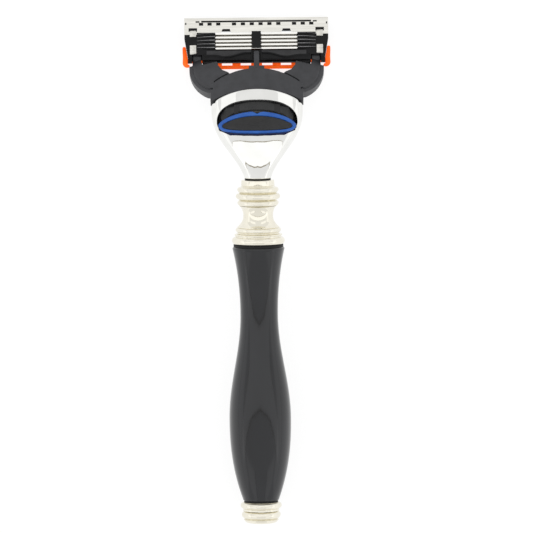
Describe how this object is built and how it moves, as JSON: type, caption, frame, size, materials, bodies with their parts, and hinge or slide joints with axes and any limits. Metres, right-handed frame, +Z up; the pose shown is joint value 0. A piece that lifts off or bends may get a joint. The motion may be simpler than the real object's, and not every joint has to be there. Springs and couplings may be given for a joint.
{
  "type": "cartridge razor",
  "caption": "Cartridge razor with a waisted turned resin grip, beaded nickel collar and finial, chromed dock head with eject button, and a pivoting multi-blade cartridge on a yoke.",
  "frame": {"origin": "on the table under the middle of the razor's overall box, the razor lying face down on the cartridge's shaving face and the grip's belly", "axes": "+X across the cartridge, to the right with the head away from the viewer; +Y from the finial to the cartridge; +Z up from the table, out of the razor's back"},
  "size_m": [0.0418, 0.1429, 0.0214],
  "materials": {
    "grip_resin": "polished near-black turned resin",
    "nickel": "polished, warm nickel plate",
    "chrome": "bright mirror chrome plate",
    "brass": "plain machined",
    "steel": "plain machined",
    "stamped_steel": "bright stamped stainless sheet",
    "blade_steel": "ground stainless blade",
    "rubber_black": "matt black sealing rubber",
    "frame_black": "moulded satin black",
    "pad_black": "soft grip pad with fine ribs",
    "ring_blue": "moulded blue, half gloss",
    "yoke_grey": "moulded satin dark grey",
    "housing_black": "moulded satin black",
    "guard_orange": "moulded orange elastomer",
    "strip_blue": "pale lubricating compound"
  },
  "bodies": {
    "handle": {"finial": "nickel", "finial_washer": "rubber_black", "grip": "grip_resin", "grip_liner": "brass", "tie_rod": "steel", "collar_washer": "rubber_black", "neck_collar": "nickel", "neck_seal": "rubber_black", "head_shell": "chrome", "dock_frame": "frame_black", "frame_screw": "steel"},
    "button": {"button_pad": "pad_black", "button_ring": "ring_blue", "ejector": "frame_black", "return_spring": "steel"},
    "plunger": {"plunger": "yoke_grey"},
    "yoke": {"yoke": "yoke_grey"},
    "cartridge": {"cartridge_housing": "housing_black", "guard_fins": "guard_orange", "lubricating_strip": "strip_blue", "trimmer_plate": "stamped_steel", "trimmer_blade": "blade_steel", "clip_left": "stamped_steel", "clip_right": "stamped_steel"},
    "blade_unit_1": {"blade_1": "blade_steel", "blade_support_1": "stamped_steel"},
    "blade_unit_2": {"blade_2": "blade_steel", "blade_support_2": "stamped_steel"},
    "blade_unit_3": {"blade_3": "blade_steel", "blade_support_3": "stamped_steel"},
    "blade_unit_4": {"blade_4": "blade_steel", "blade_support_4": "stamped_steel"},
    "blade_unit_5": {"blade_5": "blade_steel", "blade_support_5": "stamped_steel"}
  },
  "joints": [
    {"name": "cartridge_pivot", "type": "hinge", "parent": "yoke", "child": "cartridge", "pos_m": [0, 0.06021, 0.00295], "axis": [1, 0, 0], "range_deg": [0, 40], "stiffness_Nm_per_rad": 0.0044, "springref_deg": -28.65},
    {"name": "cartridge_release", "type": "slide", "parent": "button", "child": "yoke", "axis": [0, 0.9063, -0.4226], "range_m": [0, 0.014]},
    {"name": "eject_button", "type": "slide", "parent": "handle", "child": "button", "axis": [0, 0.9063, -0.4226], "range_m": [0, 0.0022], "stiffness_N_per_m": 500, "springref_m": -0.004, "deforming": ["return_spring"]},
    {"name": "plunger_slide", "type": "slide", "parent": "handle", "child": "plunger", "axis": [0, -0.9063, 0.4226], "range_m": [0, 0.0038], "deforming": ["return_spring"]},
    {"name": "suspension_blade_1", "type": "slide", "parent": "cartridge", "child": "blade_unit_1", "axis": [0, 0, 1], "range_m": [0, 0.0002], "stiffness_N_per_m": 300, "springref_m": -0.0006},
    {"name": "suspension_blade_2", "type": "slide", "parent": "cartridge", "child": "blade_unit_2", "axis": [0, 0, 1], "range_m": [0, 0.0002], "stiffness_N_per_m": 300, "springref_m": -0.0006},
    {"name": "suspension_blade_3", "type": "slide", "parent": "cartridge", "child": "blade_unit_3", "axis": [0, 0, 1], "range_m": [0, 0.0002], "stiffness_N_per_m": 300, "springref_m": -0.0006},
    {"name": "suspension_blade_4", "type": "slide", "parent": "cartridge", "child": "blade_unit_4", "axis": [0, 0, 1], "range_m": [0, 0.0002], "stiffness_N_per_m": 300, "springref_m": -0.0006},
    {"name": "suspension_blade_5", "type": "slide", "parent": "cartridge", "child": "blade_unit_5", "axis": [0, 0, 1], "range_m": [0, 0.0002], "stiffness_N_per_m": 300, "springref_m": -0.0006}
  ],
  "couplings": [
    {"joint": "plunger_slide", "follows": "cartridge_pivot", "m_per_rad": 0.0054}
  ]
}
